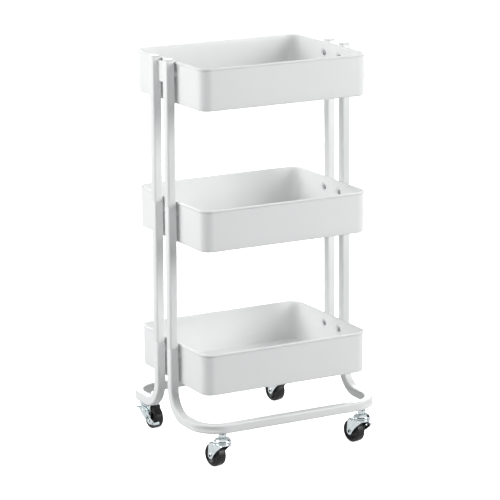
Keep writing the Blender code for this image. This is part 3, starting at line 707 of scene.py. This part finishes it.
def upper_race_mesh():
    """Domed cap over the balls: a flat round the stem, a soft shoulder, and a lip that turns down."""
    line = [
        (STEM_HOLE, 0.0682, 0), (0.0098, 0.0682, 0.0016), (0.0148, 0.0664, 0.0030),
        (0.0178, 0.0628, 0.0026), (RACE_RADIUS, 0.0604, 0.0012), (RACE_RADIUS, 0.0586, 0.0004),
        (0.0172, 0.0577, 0), (STEM_HOLE, 0.0577, 0),
    ]
    return lathe("upper_race", rounded(line), 64, closed=True)


def lower_race_mesh():
    """Cup under the balls, pressed into the fork's crown."""
    line = [
        (STEM_HOLE, 0.0570, 0), (0.0160, 0.0570, 0.0003), (0.0183, 0.0563, 0.0005),
        (RACE_RADIUS, 0.0546, 0.0005), (0.0172, 0.0530, 0.0006), (STEM_HOLE, 0.0530, 0),
    ]
    return lathe("lower_race", rounded(line), 64, closed=True)


def eye_reach(height):
    """How far a leg's round foot, about the axle, reaches to either side at a height."""
    return math.sqrt(max(0.0, FORK_EYE**2 - (height - WHEEL_RADIUS) ** 2))


def leading_edge(height):
    """Where a leg's leading edge is at a height: a slightly hollow slope above the round foot."""
    foot, top = (0.0191, 0.0195), (-0.0118, LEG_TOP)
    if height < foot[1]:
        return TRAIL - eye_reach(height)
    part = (height - foot[1]) / (top[1] - foot[1])
    return foot[0] + (top[0] - foot[0]) * part + 0.0034 * math.sin(math.pi * part)


def trailing_edge(height):
    """The same for its trailing edge, which is nearly upright and round at the top."""
    foot, shoulder = (0.0323, 0.0262), 0.0050
    if height < foot[1]:
        return TRAIL + eye_reach(height)
    part = (height - foot[1]) / (CROWN_TOP - foot[1])
    rise = min(1.0, max(0.0, height - (CROWN_TOP - shoulder)) / shoulder)
    return foot[0] - 0.0026 * part - shoulder * (1 - math.sqrt(1 - rise**2))


def fork_section():
    """(y, z) points up one leg of the fork, over its crown and down the other leg."""
    half, bend = FORK_HALF_WIDTH, FORK_BEND
    foot = [math.pi / 2 * step / 12 for step in range(1, 13)]
    shoulder = [math.pi / 2 * step / 8 for step in range(9)]
    leg = [(half, WHEEL_RADIUS - FORK_EYE * math.cos(angle)) for angle in foot]
    leg += [(half, z) for z in stretch(WHEEL_RADIUS + 0.0012, CROWN_TOP - bend, 0.0022)]
    leg += [(half - bend + bend * math.cos(a), CROWN_TOP - bend + bend * math.sin(a)) for a in shoulder]
    crown = [(y, CROWN_TOP) for y in stretch(half - bend, bend - half, 0.0020)[1:]]
    return leg + crown + [(-y, z) for y, z in reversed(leg)]


def fork_mesh():
    """Pressed fork with a hole for the stem: rows of points fore and aft, one at each point of its section.

    Above CROWN_LOW its front edge eases from the legs' slope into an arc about the stem.
    """
    columns = 14
    shoulder_end = CROWN_TOP - 0.0012
    bm = bmesh.new()
    rows = []
    for y, z in fork_section():
        front, rear = leading_edge(min(z, LEG_TOP)), trailing_edge(min(z, shoulder_end))
        if z > CROWN_LOW:
            share = (z - CROWN_LOW) / (CROWN_TOP - CROWN_LOW)
            front = front * (1 - share) - math.sqrt(CROWN_RADIUS**2 - y * y) * share
        rows.append([bm.verts.new((front + (rear - front) * c / columns, y, z)) for c in range(columns + 1)])
    for first, second in zip(rows, rows[1:]):
        for c in range(columns):
            bm.faces.new((first[c], first[c + 1], second[c + 1], second[c]))
    bmesh.ops.remove_doubles(bm, verts=bm.verts[:], dist=0.00001)
    return bored(thickened(mesh_from(bm, "fork_skin"), FORK_SHEET, FORK_EDGE), STEM_HOLE, CROWN_TOP)


def thickened(mesh, thickness, edge):
    """The sheet given its thickness on the inside, with its cut edges broken."""
    obj = show("sheet", mesh)
    solidify = obj.modifiers.new("sheet", "SOLIDIFY")
    solidify.thickness = thickness
    solidify.offset = -1
    solidify.use_even_offset = True
    bevel = obj.modifiers.new("edges", "BEVEL")
    bevel.width = edge
    bevel.segments = 2
    bevel.limit_method = "ANGLE"
    bevel.angle_limit = math.radians(55)
    return shaded(baked(obj))


def bored(mesh, radius, height):
    """The mesh with a round hole along Z through the part of it near one height."""
    bm = bmesh.new()
    bmesh.ops.create_cone(bm, cap_ends=True, segments=32, radius1=radius, radius2=radius, depth=0.010,
                          matrix=Matrix.Translation((0, 0, height)))
    drill_mesh = bpy.data.meshes.new("drill")
    bm.to_mesh(drill_mesh)
    bm.free()
    drill, obj = show("drill", drill_mesh), show("bored", mesh)
    cut = obj.modifiers.new("hole", "BOOLEAN")
    cut.operation = "DIFFERENCE"
    cut.object = drill
    made = baked(obj, drill)
    made.set_sharp_from_angle(angle=math.radians(40))
    return made


def axle_mesh():
    """Tubular rivet on Z: flared heads outside the legs, hollow at both ends."""
    half = FORK_HALF_WIDTH + 0.0003
    side = [
        (0.0024, half - 0.0090, 0), (0.0024, half + 0.0002, 0), (0.0031, half + 0.0002, 0),
        (0.0031, half + 0.0014, 0.0002), (0.0040, half + 0.0015, 0.0004), (0.0050, half + 0.0007, 0.0004),
        (0.0050, half, 0.0002), (0.0029, half, 0),
    ]
    outer = rounded(side)
    profile = outer + [(r, -z) for r, z in reversed(outer)]
    return lathe("axle", profile, 40)


def painted_bore_shade_mesh():
    """Dark rod of painted shade inside the rivet's hollow bore, a little way in, wider at its two ends."""
    reach, neck = FORK_HALF_WIDTH + 0.0011, FORK_HALF_WIDTH + 0.0006
    side = [(0.0024, neck), (0.0031, neck), (0.0031, reach)]
    return lathe("bore", [(r, -z) for r, z in reversed(side)] + side, 32)


def wheel_mesh():
    """Moulded wheel on Z: crowned tread with round shoulders, a raised ring, a dished web and a hub."""
    half = WHEEL_HALF_WIDTH
    side = [
        (0.0032, half + 0.0006, 0), (0.0062, half + 0.0006, 0.0004), (0.0070, half - 0.0050, 0.0012),
        (0.0122, half - 0.0060, 0.0016), (0.0184, half - 0.0008, 0.0008), (0.0192, half + 0.0005, 0.0003),
        (0.0204, half + 0.0005, 0.0004), (0.0212, half - 0.0008, 0.0003), (0.0218, half - 0.0010, 0.0003),
        (0.0234, half - 0.0012, 0.0008), (0.0248, half - 0.0028, 0.0012),
        (WHEEL_RADIUS, half - 0.0060, 0.002), (WHEEL_RADIUS, 0.0, 0),
    ]
    outer = rounded(side)
    profile = outer + [(r, -z) for r, z in reversed(outer[:-1])]
    return lathe("wheel", profile, 96, closed=True)


def brake_lever_mesh():
    """Rocker of pressed sheet: the plate, the curled shoe behind the tread, and the foot tab in front."""
    px, pz = BRAKE_PIVOT
    corners = [
        (-0.0098, 0.0455, 0.0010), (-0.0108, 0.0395, 0.0010), (0.0030, 0.0285, 0.0060),
        (0.0170, 0.0190, 0.0060), (0.0330, 0.0125, 0.0060), (0.0500, 0.0140, 0.0008),
        (0.0510, 0.0210, 0.0008), (0.0360, 0.0280, 0.0070), (0.0240, 0.0430, 0.0070),
        (0.0150, 0.0465, 0.0030), (0.0060, 0.0475, 0.0040),
    ]
    outline = rounded([(x - px, z - pz, radius) for x, z, radius in corners], closed=True)
    holes = [
        circle((0, 0), 0.0024),
        circle((TRAIL - px, WHEEL_RADIUS - pz), 0.0056),
        circle((0.0352 - px, 0.0203 - pz), 0.0024),
        circle((0.0030 - px, 0.0390 - pz), 0.0020),
    ]
    plate = moved(slab("brake_plate", [outline, *holes], BRAKE_SHEET, 0.0003), STAND_UP,
                  Matrix.Translation((0, -BRAKE_SHEET / 2, 0)))
    curl = rounded([(0.0440, 0.0, 0), (0.0528, 0.0, 0.0024), (0.0528, 0.0140, 0), (0.0513, 0.0140, 0),
                    (0.0513, 0.0015, 0.0009), (0.0440, 0.0015, 0)], closed=True)
    shoe = moved(slab("brake_shoe", [[(x - px, y - BRAKE_SHEET) for x, y in curl]], 0.0058, 0.0003),
                 Matrix.Translation((0, 0, 0.0176 - pz)))
    fold = rounded([(-0.0105, -0.0075, 0.0004), (-0.0090, -0.0075, 0.0004), (-0.0090, -0.0002, 0),
                    (-0.0105, -0.0002, 0)], closed=True)
    tab = moved(slab("brake_tab", [[(x - px, y) for x, y in fold]], 0.0046, 0.0003),
                Matrix.Translation((0, 0, 0.0430 - pz)))
    return joined("brake_lever", [plate, shoe, tab])


def brake_rivet_mesh():
    """Rivet of the lever: a head inside the fork's leg, a spacer outside it, and a head over the lever."""
    gap = 0.0003
    inside, outside = FORK_HALF_WIDTH - FORK_SHEET - gap, FORK_HALF_WIDTH + gap
    lever_inner = -BRAKE_INNER_Y - gap
    lever_outer = -BRAKE_INNER_Y + BRAKE_SHEET + gap
    profile = rounded([
        (0.0036, inside - 0.0005, 0), (0.0036, inside, 0), (0.0022, inside, 0), (0.0022, outside, 0),
        (0.0034, outside, 0), (0.0034, lever_inner, 0), (0.0022, lever_inner, 0), (0.0022, lever_outer, 0),
        (0.0040, lever_outer, 0.0003), (0.0034, lever_outer + 0.0008, 0.0004),
        (0.0012, lever_outer + 0.0010, 0),
    ])
    return moved(lathe("brake_rivet", profile, 32), STAND_UP)


def swivel_place(name):
    """Matrix from a caster's own frame to the cart's."""
    stem = JOINTS[f"{name}_swivel"]["pos_m"]
    axle = JOINTS[f"{name}_wheel_spin"]["pos_m"]
    turn = math.atan2(axle[1] - stem[1], axle[0] - stem[0])
    return Matrix.Translation((stem[0], stem[1], 0)) @ Matrix.Rotation(turn, 4, "Z")


def build_casters():
    """Four casters, placed and turned by their joints. Those with a brake body get a lever and its rivet."""
    shared = {
        "stem": stem_mesh(),
        "nut": nut_mesh(),
        "upper_race": upper_race_mesh(),
        "lower_race": lower_race_mesh(),
        "fork": fork_mesh(),
        "axle": moved(axle_mesh(), LAY_ALONG_Y),
        "bore": moved(painted_bore_shade_mesh(), LAY_ALONG_Y),
        "wheel": moved(wheel_mesh(), LAY_ALONG_Y),
        "brake_lever": brake_lever_mesh(),
        "brake_rivet": brake_rivet_mesh(),
    }
    at_axle = Matrix.Translation((TRAIL, 0, WHEEL_RADIUS))
    at_pivot = Matrix.Translation((BRAKE_PIVOT[0], 0, BRAKE_PIVOT[1]))
    for name in CASTERS:
        place = swivel_place(name)
        fork, wheel = f"{name}_fork", f"{name}_wheel"
        for part in ("stem", "nut", "upper_race"):
            add_piece(f"{name}_{part}", shared[part], ZINC, "cart", [f"{name}_caster_{part}"], place)
        on_axle = place @ at_axle
        add_piece(f"{name}_fork_sheet", shared["fork"], ZINC, fork, [f"{name}_caster_fork"], place)
        add_piece(f"{name}_lower_race", shared["lower_race"], ZINC, fork, (), place)
        add_piece(f"{name}_axle_rivet", shared["axle"], ZINC, fork, [f"{name}_caster_axle"], on_axle)
        # A dark rod in each rivet's bore: painted shade where the hollow would be dark.
        add_piece(f"{name}_rivet_painted_shade", shared["bore"], BLACK, fork, (), on_axle)
        add_piece(f"{name}_tread_wheel", shared["wheel"], BLACK, wheel, [f"{name}_caster_wheel"], on_axle)
        if f"{name}_brake" in frame["bodies"]:
            beside = Matrix.Translation((BRAKE_PIVOT[0], BRAKE_INNER_Y, BRAKE_PIVOT[1]))
            add_piece(f"{name}_brake_rocker", shared["brake_lever"], ZINC, f"{name}_brake",
                      [f"{name}_brake_lever"], place @ beside)
            add_piece(f"{name}_brake_pin", shared["brake_rivet"], ZINC, fork, [f"{name}_brake_rivet"],
                      place @ at_pivot)


# Stage --------------------------------------------------------------------------------------------


def build_floor():
    """Plain pale floor, wide enough to reach past every view."""
    bm = bmesh.new()
    bmesh.ops.create_circle(bm, cap_ends=True, segments=64, radius=9.0)
    mesh = bpy.data.meshes.new("floor")
    bm.to_mesh(mesh)
    bm.free()
    pale = Surface("pale_floor", 0.85, 0.0)
    pale.color(pale.noise(0.7, 2), (0.93, 0.93, 0.93), (0.95, 0.95, 0.95))
    dim_bounce(pale)
    mesh.materials.append(pale.material)
    show("floor", mesh)


def dim_bounce(surface):
    """Fades the shadows seen on a surface, and makes it throw less light back on what stands on it."""
    surface.shader.inputs["Emission Color"].default_value = (1, 1, 1, 1)
    surface.shader.inputs["Emission Strength"].default_value = 0.92
    path = surface.nodes.new("ShaderNodeLightPath")
    matt = surface.nodes.new("ShaderNodeBsdfDiffuse")
    matt.inputs["Color"].default_value = (0.46, 0.46, 0.46, 1)
    mirrored = surface.nodes.new("ShaderNodeEmission")
    mirrored.inputs["Color"].default_value = (0.74, 0.75, 0.76, 1)
    unseen = {"Is Diffuse Ray": matt.outputs["BSDF"], "Is Glossy Ray": mirrored.outputs["Emission"]}
    shown = surface.shader.outputs["BSDF"]
    for ray, instead in unseen.items():
        mix = surface.nodes.new("ShaderNodeMixShader")
        surface.links.new(path.outputs[ray], mix.inputs["Fac"])
        surface.links.new(shown, mix.inputs[1])
        surface.links.new(instead, mix.inputs[2])
        shown = mix.outputs["Shader"]
    surface.links.new(shown, surface.nodes["Material Output"].inputs["Surface"])


def soft_light(name, place, size, power):
    """A rectangular lamp that faces the middle of the cart."""
    target = (0, 0, 0.45)
    data = bpy.data.lights.new(name, "AREA")
    data.shape = "RECTANGLE"
    data.size, data.size_y = size
    data.energy = power
    light = show(name, data)
    light.location = place
    light.rotation_euler = (Vector(target) - Vector(place)).to_track_quat("-Z", "Y").to_euler()


def build_lights():
    """A key on the left, lamps in front and behind on the right, and a dome that differs by the kind of ray.

    Matt surfaces see a dim dome that is brighter overhead, the zinc's reflections see one with a dark band
    above the horizon, and the camera sees plain white.
    """
    soft_light("key", (-2.6, 0.8, 1.6), (2.0, 2.0), 66)
    soft_light("front", (2.3, -2.8, 1.85), (2.2, 2.0), 100)
    soft_light("back", (1.7, 3.0, 1.9), (2.2, 2.0), 95)
    world = bpy.data.worlds.new("studio")
    world.use_nodes = True
    nodes, links = world.node_tree.nodes, world.node_tree.links
    height = nodes.new("ShaderNodeSeparateXYZ")
    links.new(nodes.new("ShaderNodeTexCoord").outputs["Generated"], height.inputs["Vector"])
    path = nodes.new("ShaderNodeLightPath")

    def dome(background, strength, stops):
        """Shades, a little blue, at heights from the horizon at 0 to straight up at 1."""
        ramp = nodes.new("ShaderNodeValToRGB")
        for position, _ in stops[1:-1]:
            ramp.color_ramp.elements.new(position)
        for stop, (_, shade) in zip(ramp.color_ramp.elements, stops):
            stop.color = (shade, shade * 1.02, shade * 1.04, 1)
        links.new(height.outputs["Z"], ramp.inputs["Fac"])
        links.new(ramp.outputs["Color"], background.inputs["Color"])
        background.inputs["Strength"].default_value = strength

    def mixed(factor, first, second):
        mix = nodes.new("ShaderNodeMixShader")
        links.new(factor, mix.inputs["Fac"])
        links.new(first, mix.inputs[1])
        links.new(second, mix.inputs[2])
        return mix.outputs["Shader"]

    around = nodes["Background"]
    dome(around, 0.62, ((0.0, 0.22), (0.45, 0.26), (1.0, 0.66)))
    mirrored = nodes.new("ShaderNodeBackground")
    dome(mirrored, 1.0, ((0.0, 0.76), (0.08, 0.76), (0.13, 0.03), (0.60, 0.02), (0.72, 0.75), (1.0, 0.80)))
    backdrop = nodes.new("ShaderNodeBackground")
    backdrop.inputs["Color"].default_value = (1, 1, 1, 1)
    lit = mixed(path.outputs["Is Glossy Ray"], around.outputs["Background"], mirrored.outputs["Background"])
    shown = mixed(path.outputs["Is Camera Ray"], lit, backdrop.outputs["Background"])
    links.new(shown, nodes["World Output"].inputs["Surface"])
    bpy.context.scene.world = world
    bpy.context.scene.view_settings.view_transform = "Standard"


def build_camera():
    """Long lens, from the front left and a little above."""
    heading, pitch, roll = math.radians(28.44), math.radians(13.66), 0.0075
    place = Matrix.Translation((-2.6245, -4.8359, 1.7523))
    data = bpy.data.cameras.new("camera")
    data.sensor_width = 36.0
    data.lens = 189.12
    data.clip_start, data.clip_end = 0.1, 40
    camera = show("camera", data)
    camera.rotation_mode = "QUATERNION"
    level = math.cos(pitch)
    forward = Vector((math.sin(heading) * level, math.cos(heading) * level, -math.sin(pitch)))
    aim = forward.to_track_quat("-Z", "Y").to_matrix() @ Matrix.Rotation(-roll, 3, "Z")
    camera.matrix_world = place @ aim.to_4x4()
    bpy.context.scene.camera = camera


build_camera()
build_floor()
build_lights()
build_frames()
build_posts()
build_bridges()
build_trays()
build_bolts()
build_casters()
